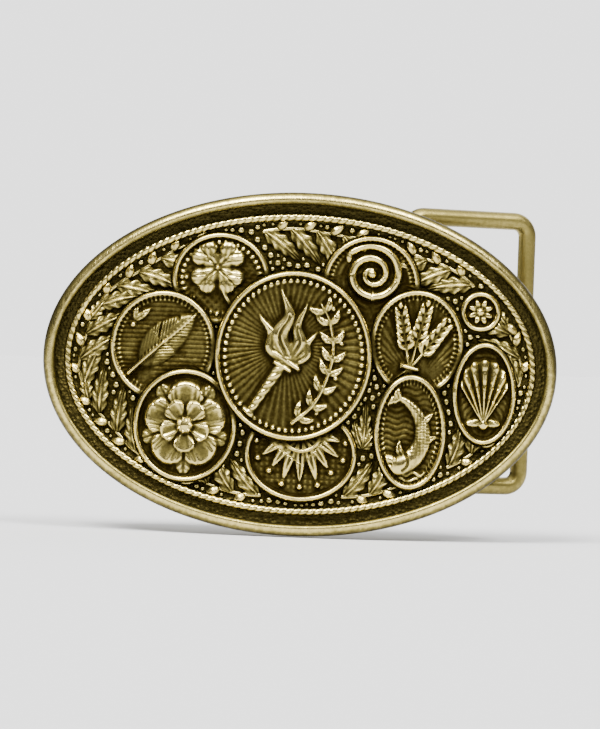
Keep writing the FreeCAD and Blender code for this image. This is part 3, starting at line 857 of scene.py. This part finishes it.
def clearance(x, z):
    """How far places are from the nearest coin or the bead."""
    edge = -ellipse_distance(x, z, *FIELD)
    return np.minimum.reduce([edge] + [outside(coin, x, z) for coin in COINS])


def leaf(root, heading, length, width, curl):
    """A veined leaf with scalloped edges that curls to one side and tucks under what is over it."""
    s = np.linspace(0, 1, 40)[:, None]
    t = np.linspace(-1, 1, 23)[None, :]
    turn = heading + curl * s[:, 0]
    step = length / (len(s) - 1)
    x, z = (first + step * np.concatenate([[0], np.cumsum(way(turn[:-1]))])
            for first, way in zip(root, (np.cos, np.sin)))
    half = width / 2 * np.sin(np.pi * (0.04 + 0.96 * s) ** 0.78) ** 0.75 + 0.04
    detail = float(smooth(2.6, 4.4, length))
    lobe = 4.2 * s - 0.85 * np.abs(t)
    notch = detail * (0.5 - 0.5 * np.cos(2 * np.pi * lobe))
    across = half * t * (1 - 0.20 * notch * smooth(0.5, 1, np.abs(t)))
    px = x[:, None] - np.sin(turn)[:, None] * across
    pz = z[:, None] + np.cos(turn)[:, None] * across
    room = smooth(-0.30, 0.20, clearance(px, pz))
    rise = 0.42 + 0.58 * np.sin(np.pi * s ** 0.75)
    midrib = np.exp(-(t / 0.13) ** 2)
    groove = detail * np.exp(-((np.abs(t) - 0.22) / 0.12) ** 2)
    body = dome(t) ** 0.75 * (1 - 0.34 * notch * smooth(0.2, 0.6, np.abs(t)))
    body = body + 0.16 * midrib - 0.22 * groove
    top = 0.06 + 0.98 * rise * body * room
    worn = np.clip(-0.08 + 1.15 * rise * body - 0.30 * groove - 0.22 * notch, 0, 1)
    # Painted shade: the leaf is darker where it runs next to or under a coin or the bead.
    worn = worn * (0.25 + 0.75 * room)
    for i in range(0, len(s), max(1, len(s) // 12)):
        leaf_prints.append((x[i], z[i], half[i, 0]))
    return relief(px, pz, top, worn)


def stem_rod(line, radii):
    """A stem's rod through places on the plaque's face."""
    way = unit(np.gradient(line, axis=0))
    t = np.linspace(-1, 1, 9)[None, :]
    across = radii[:, None] * t
    x = line[:, :1] - way[:, 1:] * across
    z = line[:, 1:] + way[:, :1] * across
    room = smooth(-0.2, 0.2, clearance(x, z))
    top = 0.04 + 1.25 * radii[:, None] * dome(t) * room
    leaf_prints.extend((x0, z0, r) for (x0, z0), r in zip(line[::3], radii[::3]))
    # The stem's crest is rubbed bright; painted shade makes it darker where it runs next to or under a coin
    # or the bead.
    return relief(x, z, top, 0.15 + 0.75 * dome(t) * room)


def berry(x, z, radius):
    """A round berry with a dimple at its top."""
    r, angle = disc_grid(14)
    top = 0.05 + radius * (1.05 * dome(0.995 * r) - 0.35 * smooth(0.35, 0.0, r))
    worn = np.clip(0.90 * dome(r) - 0.5 * smooth(0.30, 0.05, r), 0, 1)
    return relief(x + radius * r * np.cos(angle), z + radius * r * np.sin(angle), top, worn)


def point_along(line, run, distance):
    """A place on a line, and the line's heading there."""
    behind, here, ahead = ([np.interp(distance + step, run, line[:, i]) for i in (0, 1)]
                           for step in (-0.3, 0, 0.3))
    return here, math.atan2(ahead[1] - behind[1], ahead[0] - behind[0])


def vine(start, end):
    """A stem along the field's edge, with long leaves to the inside and short ones to the outside."""
    turn = np.radians(np.linspace(start, end, STEM_STEPS))
    stem = oval(FIELD[0] - STEM_INSET, FIELD[1] - STEM_INSET, turn)
    sway = 0.3 * np.sin(np.linspace(0, abs(end - start) / 4.5, STEM_STEPS))[:, None]
    stem += sway * unit(stem)
    inward = 1 if end > start else -1
    parts = [stem_rod(stem, np.linspace(0.46, 0.24, STEM_STEPS))]
    run = run_along(stem)
    lean = inward * math.radians(LEAF_LEAN)
    for here in np.arange(0.3, run[-1] - 0.5, LEAF_PITCH):
        root, heading = point_along(stem, run, here)
        parts.append(leaf(root, heading + lean, LEAF_LENGTH, LEAF_WIDTH, 0.30 * inward))
        root, heading = point_along(stem, run, here + LEAF_PITCH / 2)
        parts.append(leaf(root, heading - 0.8 * lean, 0.38 * LEAF_LENGTH, 0.50 * LEAF_WIDTH, -0.4 * inward))
    root, heading = point_along(stem, run, run[-1] - 0.3)
    parts.append(leaf(root, heading + 0.25 * inward, 0.6 * LEAF_LENGTH, 0.8 * LEAF_WIDTH, 0.3 * inward))
    return parts


def leaf_sprig():
    """Three leaves from one root, in the gap right of the torch."""
    x, z, middle = SPRIG
    width = 0.85 * LEAF_WIDTH
    return [leaf((x, z), math.radians(middle + spread), length, width, -0.2 * np.sign(spread))
            for spread, length in ((30, 4.6), (-36, 4.4), (-2, 7.4))]


def berries():
    """Round berries that fill the ground which the leaves leave, the largest gaps first."""
    step = 0.2
    x, z = np.meshgrid(np.arange(-FIELD[0], FIELD[0], step), np.arange(-FIELD[1], FIELD[1], step))
    x, z = x[clearance(x, z) > BERRY[0]], z[clearance(x, z) > BERRY[0]]
    room = clearance(x, z)
    for px, pz, radius in leaf_prints:
        np.minimum(room, np.hypot(x - px, z - pz) - radius, out=room)
    found = []
    while room.max() > BERRY[0] + 0.05:
        best = room.argmax()
        radius = min(room[best] - 0.05, BERRY[1])
        found.append((x[best], z[best], radius))
        room = np.minimum(room, np.hypot(x - x[best], z - z[best]) - radius - 0.1)
    return found


grown = {name: vine(start, end) for name, start, end in VINES}
grown["leaf_sprig"] = leaf_sprig()
plots = {name: 0.85 * oval(*FIELD, np.radians(np.linspace(start, end, 7))) for name, start, end in VINES}
plots["leaf_sprig"] = np.array([(SPRIG[0], SPRIG[1] + rise) for rise in (1, 4, 8)])
for x, z, radius in berries():
    nearest = min(plots, key=lambda name: np.hypot(plots[name][:, 0] - x, plots[name][:, 1] - z).min())
    grown[nearest].append(berry(x, z, radius))
for name, parts in grown.items():
    make_piece(name.replace("vine", "leaves"), join(parts), ornament_brass, name)


# Back hardware, in millimetres in the row frame

def rod(rings, ends, worn, end_worn):
    """A closed rod from its rings of points and the middle of each end: points, faces and wear."""
    count, sides = rings.shape[0] * rings.shape[1], rings.shape[1]
    first = np.arange(sides)
    last = first + count - sides
    blocks = [ring_faces(*rings.shape[:2]), fan(first, count)[:, [1, 0, 2]], fan(last, count + 1)]
    points = np.vstack([rings.reshape(-1, 3), ends]) * MM
    return points, blocks, np.concatenate([np.repeat(worn, sides), end_worn])


def tube(line, radius, worn, sides=32):
    """A round wire along a line of points that never runs along Y."""
    way = unit(np.gradient(line, axis=0))
    normal = unit(np.cross(way, (0.0, 1.0, 0.0)))
    other = np.cross(way, normal)
    turn = full_turn(sides)[None, :, None]
    round_wire = np.cos(turn) * normal[:, None, :] + np.sin(turn) * other[:, None, :]
    return rod(line[:, None, :] + radius * round_wire, line[[0, -1]], worn, [0.3, 0.3])


def lathe(profile, place, worn, sides=48):
    """A profile of (radius, along) pairs turned round an axis; place maps (x, y, z) to the row frame."""
    r, along = np.hsplit(np.asarray(profile, float), 2)
    turn = full_turn(sides)[None, :]
    rings = at(r * np.cos(turn), along, r * np.sin(turn))
    ends = np.array([(0, profile[0][1], 0), (0, profile[-1][1], 0)])
    rings = place(rings.reshape(-1, 3)).reshape(rings.shape)
    points, (side, *caps), shade = rod(rings, place(ends), worn, [worn[0], worn[-1]])
    return points, [np.roll(side[:, ::-1], 1, axis=1)] + [cap[:, [1, 0, 2]] for cap in caps], shade


# Bail, from the frame: its hinge, its outer bar and its height
hinge = frame["joints"][0]["pos_m"]
HINGE = (hinge[0] / MM, hinge[1] / MM)
bail_low, bail_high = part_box("bail_loop")
WIRE_RADIUS = 1.4
BAIL_CORNER = 2.4
BAIL_RISE = (bail_high.z + bail_low.z) / 2 / MM
BAIL_HALF = (bail_high.z - bail_low.z) / 2 / MM - WIRE_RADIUS
BAR = (bail_high.x / MM - WIRE_RADIUS, bail_high.y / MM - WIRE_RADIUS)
BUTT_JOINT = 0.4            # the gap between the wire's ends, in the barrel


def bail_loop():
    """The wire loop, from one end in the barrel round to the other."""
    reach = math.hypot(BAR[0] - HINGE[0], BAR[1] - HINGE[1])
    inner, outer = BAIL_CORNER, reach - BAIL_CORNER
    top = BAIL_HALF - BAIL_CORNER
    line = [(0, t) for t in np.linspace(BUTT_JOINT / 2, top, 24)]
    line += list(arc(inner, top, BAIL_CORNER, 180, 90, 14)[1:])
    line += [(t, BAIL_HALF) for t in np.linspace(inner, outer, 20)[1:]]
    line += list(arc(outer, top, BAIL_CORNER, 90, 0, 14)[1:])
    line += [(reach, t) for t in np.linspace(top, 0, 24)[1:]]
    line += [(u, -v) for u, v in line[-2::-1]]
    out, up = np.array(line).T
    across, back = (from_hinge + out * ((to_bar - from_hinge) / reach)
                    for from_hinge, to_bar in zip(HINGE, BAR))
    points = at(across, back, BAIL_RISE + up)
    return tube(points, WIRE_RADIUS, 0.64 + grain((len(points), 1), 5, 0.10)[:, 0])


# Hinge bracket
HINGE_X = 17.0
BARREL_WALL = 1.0
BORE_RADIUS = 1.45
BARREL_HALF = 15.5
TAB_HALF = 14.0
TAB_LENGTH = 10.0
TAB_CORNER = 3.0
ROLL = 302                  # how far the strip turns round the wire, in degrees
RIVET_SETBACK = 6.2         # from the hinge line
RIVET_HALF_SPACING = 9.0
RIVET_HEAD = (1.9, 0.8)     # radius and height
HINGE_ANGLE = math.asin(HINGE_X / BEND_RADIUS)


def on_plate(along, lift):
    """A point behind the plate's back, at a run along it from the hinge line and a height off it."""
    angle = HINGE_ANGLE + along / BEND_RADIUS
    radius = BEND_RADIUS - lift
    return radius * np.sin(angle), BEND_RADIUS - radius * np.cos(angle)


def rolled(turn, radius):
    """A point of the roll about the hinge, at an angle from where the strip leaves the plate."""
    angle = HINGE_ANGLE - np.pi / 2 + turn
    return HINGE[0] + radius * np.cos(angle), HINGE[1] + radius * np.sin(angle)


def hinge_bracket():
    """A strip of brass: a tab on the plate that runs into a roll round the bail's wire."""
    tab = np.linspace(-TAB_LENGTH, 0, 26)
    corner = np.clip(TAB_CORNER - (tab + TAB_LENGTH), 0, TAB_CORNER)
    tab_half = TAB_HALF - TAB_CORNER + np.sqrt(TAB_CORNER ** 2 - corner ** 2)
    tab_half = tab_half + (BARREL_HALF - TAB_HALF) * smooth(-1.0, -0.5, tab)
    turns = np.radians(np.linspace(0, ROLL, 56))[1:]
    z = np.concatenate([tab_half, np.full(len(turns), BARREL_HALF)])[:, None] * np.linspace(-1, 1, 25)
    sheets = []
    for lift, radius in ((0.0, BORE_RADIUS + BARREL_WALL), (BARREL_WALL, BORE_RADIUS)):
        x, y = np.hstack([on_plate(tab, lift), rolled(turns, radius)])
        sheets.append(at(x[:, None], y[:, None], z) * MM)
    worn = 0.78 + grain((2 * z.size, 1), 1, 0.05)[:, 0]
    loop = edge_loop(*z.shape)
    worn[loop] = worn[loop + z.size] = 0.95
    return *slab(*sheets), worn


def rivets():
    """Two domed rivet heads on the tab."""
    angle = HINGE_ANGLE - RIVET_SETBACK / BEND_RADIUS
    foot = on_plate(-RIVET_SETBACK, BARREL_WALL - 0.02)
    along, out = (math.cos(angle), math.sin(angle), 0), (-math.sin(angle), math.cos(angle), 0)
    axes = np.array([along, out, (0, 0, 1)])
    radius, height = RIVET_HEAD
    ball = (radius ** 2 + height ** 2) / (2 * height)
    share = np.linspace(1, 0.02, 12) * math.asin(radius / ball)
    profile = [(0.9, 0.0), (radius - 0.1, 0.0), (radius, 0.10)]
    profile += [(ball * math.sin(s), height - ball * (1 - math.cos(s)) + 0.12) for s in share]
    worn = [0.3, 0.3, 0.5] + list(0.6 + 0.4 * np.cos(share * 2.4))
    return join([lathe(profile, lambda p: p @ axes + (*foot, side), worn)
                 for side in (-RIVET_HALF_SPACING, RIVET_HALF_SPACING)])


# Peg
PEG_X = -33.0
PAD_RADIUS = 5.0
NECK_RADIUS = 1.6
HEAD_RADIUS = 2.2
PEG_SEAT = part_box("peg_pad")[1].y / MM


def peg_pad():
    """A round wedge between the plate and the peg, with a soft upper edge."""
    r, angle = disc_grid(40)
    x, z = PEG_X + PAD_RADIUS * r * np.cos(angle), PAD_RADIUS * r * np.sin(angle)
    lower = BEND_RADIUS - np.sqrt(BEND_RADIUS ** 2 - x ** 2) + 0.01
    upper = PEG_SEAT - 0.35 * smooth(0.92, 1.0, r) ** 2
    sheets = [at(x, y, z) * MM for y in (lower, upper)]
    top = 0.72 + 0.25 * smooth(0.85, 0.97, r) - 0.45 * smooth(0.48, 0.40, r)
    return *slab(*sheets), np.concatenate([np.full(x.size, 0.3), top.ravel()])


def hook_peg():
    """A turned peg with a waisted neck and a domed head."""
    turn = np.linspace(0, np.pi / 2, 9)
    profile = [(NECK_RADIUS + 0.5, 0.0), (NECK_RADIUS + 0.5, 0.15)]
    profile += [(NECK_RADIUS + 0.5 * (1 - math.sin(t)), 0.15 + 0.5 * (1 - math.cos(t))) for t in turn]
    profile += [(NECK_RADIUS, s) for s in np.linspace(0.9, 3.4, 6)]
    profile += [(NECK_RADIUS + 0.6 * (1 - math.cos(t)), 3.6 + 0.6 * math.sin(t)) for t in turn]
    profile += [(HEAD_RADIUS, s) for s in (4.4, 4.7, 5.0, 5.15)]
    profile += [(HEAD_RADIUS * math.cos(t), 5.2 + 0.6 * math.sin(t)) for t in turn[:-1]]
    profile += [(0.1, 5.8)]
    levels, wear = (0, 0.3, 2.0, 3.4, 4.2, 5.8), (0.35, 0.55, 0.75, 0.6, 0.95, 0.95)
    worn = np.interp([along for _, along in profile], levels, wear)
    return lathe(profile, lambda p: p + (PEG_X, PEG_SEAT - 0.01, 0), worn)


for name, shape, stands_for, body in (
    ("bail", bail_loop, "bail_loop", "bail"),
    ("bracket", hinge_bracket, "hinge_bracket", "plaque"),
    ("rivets", rivets, "hinge_rivets", "plaque"),
    ("pad", peg_pad, "peg_pad", "plaque"),
    ("peg", hook_peg, "hook_peg", "plaque"),
):
    make_piece(name, shape(), hardware_brass, stands_for, body)


# Stage, camera and lights

DOME = [(0.0, 0.03), (0.48, 0.05), (0.60, 0.09), (0.80, 0.45), (1.0, 1.0)]  # brightness, from its foot up
WALL_LEVEL = 2.35           # the floor's own brightness, so that no horizon shows
FLOOR_SIZE = 60.0           # half its side, in metres
FLOOR_GAP = 0.0002
LENS = 180
SENSOR = 36
FRAME_SHARE = 0.86          # of the picture's width that the plaque takes
PICTURE_SHAPE = 729 / 600   # its height to its width
HANG = 2.14                 # how far the plaque hangs down at its right, in degrees

# Lights: name, direction from the plaque, strength, and width in degrees of the sky
LIGHTS = [
    ("key", (-0.28, -0.60, 0.75), 7.0, 24),
    ("fill", (0.40, -0.55, 0.73), 4.0, 24),
    ("top", (-0.05, -0.35, 0.94), 3.2, 60),
    ("back", (0.30, 0.80, 0.50), 1.2, 50),
]


def grey(level):
    """An even colour."""
    return level, level, level


def floor():
    """A wide pale paper floor just under the plaque."""
    material, tree, shader, place = new_material("floor_paper")
    colour = ramped(tree, noise(tree, place, 700, 3), [(0, grey(0.55)), (1, grey(0.585))])
    feed(tree, shader, {"Base Color": colour, "Roughness": 1.0, "Specular IOR Level": 0.0})
    mesh = bpy.data.meshes.new("floor")
    level = -HALF_HEIGHT * MM - FLOOR_GAP
    corners = [(-1, -1), (1, -1), (1, 1), (-1, 1)]
    mesh.from_pydata([(FLOOR_SIZE * x, FLOOR_SIZE * y, level) for x, y in corners], [], [(0, 1, 2, 3)])
    mesh.materials.append(material)
    placed("floor", mesh)


def camera():
    """A long lens square to the plaque, turned so that the plaque hangs a little down at its right."""
    data = bpy.data.cameras.new("camera")
    data.lens = LENS
    data.sensor_width = SENSOR
    made = placed("camera", data)
    frame_height = 2 * HALF_LENGTH * MM / FRAME_SHARE * PICTURE_SHAPE
    made.location = (0, -frame_height / SENSOR * LENS, 0)
    made.rotation_euler = (math.pi / 2, math.radians(-HANG), 0)
    bpy.context.scene.camera = made


def studio_light(name, direction, strength, width):
    """A soft light far away."""
    data = bpy.data.lights.new(name, "SUN")
    data.energy = strength
    data.angle = math.radians(width)
    lamp = placed(name, data)
    lamp.location = direction
    lamp.rotation_euler = (-Vector(direction)).to_track_quat("-Z", "Y").to_euler()


def world():
    """A studio dome, bright overhead and dark at eye level, that the camera sees as a pale wall."""
    made = bpy.data.worlds.new("studio")
    made.use_nodes = True
    bpy.context.scene.world = made
    tree = made.node_tree
    way = node(tree, "TexCoord", {}, "Generated")
    rise = ranged(tree, node(tree, "SeparateXYZ", {"Vector": way}, "Z"), -1, 1, 0, 1)
    dome_colour = ramped(tree, rise, [(position, grey(level)) for position, level in DOME])
    seen = node(tree, "LightPath", {}, "Is Camera Ray")
    colours = {"Factor": seen, "A": dome_colour, "B": (*grey(WALL_LEVEL), 1)}
    colour = node(tree, "Mix", colours, "Result", data_type="RGBA")
    feed(tree, tree.nodes["Background"], {"Color": colour})


camera()
floor()
world()
for light in LIGHTS:
    studio_light(*light)
